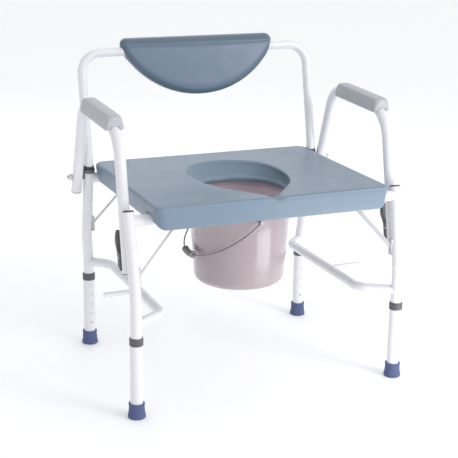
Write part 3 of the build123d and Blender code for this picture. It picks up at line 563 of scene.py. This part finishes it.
for side_name, side in SIDES.items():
    for corner, (x, y) in LEGS.items():
        body = f"lower_leg_{corner}_{side_name}"
        points, faces = lathe(FOOT, (side * x, y, 0))
        piece(f"{corner}_foot_moulded_{side_name}", points, faces, RUBBER, body,
              [f"{corner}_foot_{side_name}"])
        points, faces = lathe(COLLAR_RING, (side * x, y, 0))
        piece(f"{corner}_collar_moulded_{side_name}", points, faces, COLLAR, body,
              [f"{corner}_leg_collar_{side_name}"])

guide_points, guide_faces, guide_shade = [], [], []
for side in SIDES.values():
    points, faces = lathe(GUIDE, (side * 302.0, 432.5, 460.0), axis=(0, -25.5, 170.0))
    guide_faces += [tuple(i + len(guide_points) for i in face) for face in faces]
    guide_points += points
    # Painted shadow: the upper lip takes the dark base colour, the ring below 9.5 mm the lighter grey.
    guide_shade += [float(height < 9.5) for radius, height in GUIDE] * (len(points) // len(GUIDE))
piece("rear_guides_moulded", guide_points, guide_faces, GUIDE_PAINTED_SHADOW, "frame",
      ["rear_leg_guides"], shade=guide_shade)


# ---------------------------------------------------------------- release levers


def build_lever(side):
    """The dark release lever behind the arm's front post: a rounded paddle over a forked boss."""
    lean = math.atan((99.7 - 37.5) / (636.8 - 326.0))
    turn = Matrix.Rotation(-lean, 3, "X")
    outline = soft_profile([
        (16.0, 4.0), (26.0, 8.0), (34.0, 15.0), (34.0, 42.0), (40.0, 54.0), (47.0, 64.0), (50.5, 79.0),
        (48.5, 89.0), (42.5, 94.0), (38.0, 88.0), (36.0, 72.0), (32.0, 57.0), (27.0, 46.0), (16.0, 43.0)], 3.5)
    centre = np.mean(outline, axis=0)
    web = [(max(t, 31.0) if 23 < s < 48 else t, s) for t, s in outline]
    points, faces = [], []
    for low, high, shape in ((-8.0, -3.5, outline), (3.5, 8.0, outline), (-3.5, 3.5, web)):
        layers = []
        rounding = ((low, 0.8), (low + 0.3, 0.25), (low + 0.9, 0.0), (high - 0.9, 0.0),
                    (high - 0.3, 0.25), (high, 0.8))
        for x, shrink in rounding:
            if abs(x) < 5.0:
                shrink = 0.0
            layer = []
            for t, s in shape:
                pull = np.array((t, s)) - centre
                pull = pull * (1 - shrink / max(np.linalg.norm(pull), 6.0))
                along, up = centre + pull
                thin = 1.0 - 0.55 * max(0.0, (up - 52.0) / 42.0) ** 1.5
                layer.append(turn @ Vector((x * thin, along, up)) + Vector((335.0, 37.5, 326.0)))
            layers.append(layer)
        found, sides = capped(layers)
        faces += [tuple(i + len(points) for i in face) for face in sides]
        points += found
    name = "left" if side > 0 else "right"
    piece(f"release_lever_moulded_{name}", points, faces, DARK, f"lever_{name}",
          [f"release_lever_{name}"], mirror=side < 0)


for side in SIDES.values():
    build_lever(side)


# ---------------------------------------------------------------- floor, light and camera


def area_light(name, place, target, size, power):
    """A soft square light that looks at a target, both in metres."""
    lamp = bpy.data.lights.new(name, "AREA")
    lamp.size = size
    lamp.energy = power
    made = bpy.data.objects.new(name, lamp)
    made.location = place
    made.rotation_euler = (Vector(target) - Vector(place)).to_track_quat("-Z", "Y").to_euler()
    made.visible_camera = False
    bpy.context.scene.collection.objects.link(made)


floor_mesh = bpy.data.meshes.new("floor")
floor_mesh.from_pydata([(-40, -40, 0), (40, -40, 0), (40, 60, 0), (-40, 60, 0)], [], [(0, 1, 2, 3)])
floor = bpy.data.objects.new("floor", floor_mesh)
floor_finish = material("studio_floor", (0.97, 0.97, 0.97), 0.7, mottle=0.002, mottle_size=900.0,
                        Emission_Strength=0.13)
floor_finish.node_tree.nodes["Principled BSDF"].inputs["Emission Color"].default_value = (1.0, 1.0, 1.0, 1.0)
floor_mesh.materials.append(floor_finish)
bpy.context.scene.collection.objects.link(floor)

world = bpy.data.worlds.new("studio")
world.use_nodes = True
world.node_tree.nodes["Background"].inputs["Color"].default_value = (0.97, 0.98, 1.0, 1.0)
sky = world.node_tree
spot = sky.nodes.new("ShaderNodeTexCoord")
split = sky.nodes.new("ShaderNodeSeparateXYZ")
side_light = sky.nodes.new("ShaderNodeMapRange")
for socket, value in (("From Min", -1.0), ("From Max", 1.0), ("To Min", 0.62), ("To Max", 1.06)):
    side_light.inputs[socket].default_value = value
sky.links.new(spot.outputs["Generated"], split.inputs["Vector"])
sky.links.new(split.outputs["X"], side_light.inputs["Value"])
sky.links.new(side_light.outputs["Result"], sky.nodes["Background"].inputs["Strength"])
bpy.context.scene.world = world
bpy.context.scene.view_settings.view_transform = "Standard"

AIM = (0.0, 0.0, 0.4)
area_light("key", (2.0, -3.0, 2.0), AIM, 1.2, 43.0)
area_light("glint", (0.42, -0.66, 0.1), (0.0, -0.05, 0.33), 0.42, 1.6)
area_light("rim", (0.6, 2.6, 2.4), AIM, 1.8, 8.0)

lens = bpy.data.cameras.new("camera")
lens.sensor_width = 36.0
lens.lens = 94.23
camera = bpy.data.objects.new("camera", lens)
camera_turn = Matrix.Rotation(-0.40221, 4, "Z") @ Matrix.Rotation(math.pi / 2 - 0.28791, 4, "X")
camera.matrix_world = (
    Matrix.Translation((-1.1005, -2.5692, 1.1645)) @ camera_turn @ Matrix.Rotation(0.0151, 4, "Z")
)
bpy.context.scene.collection.objects.link(camera)
bpy.context.scene.camera = camera
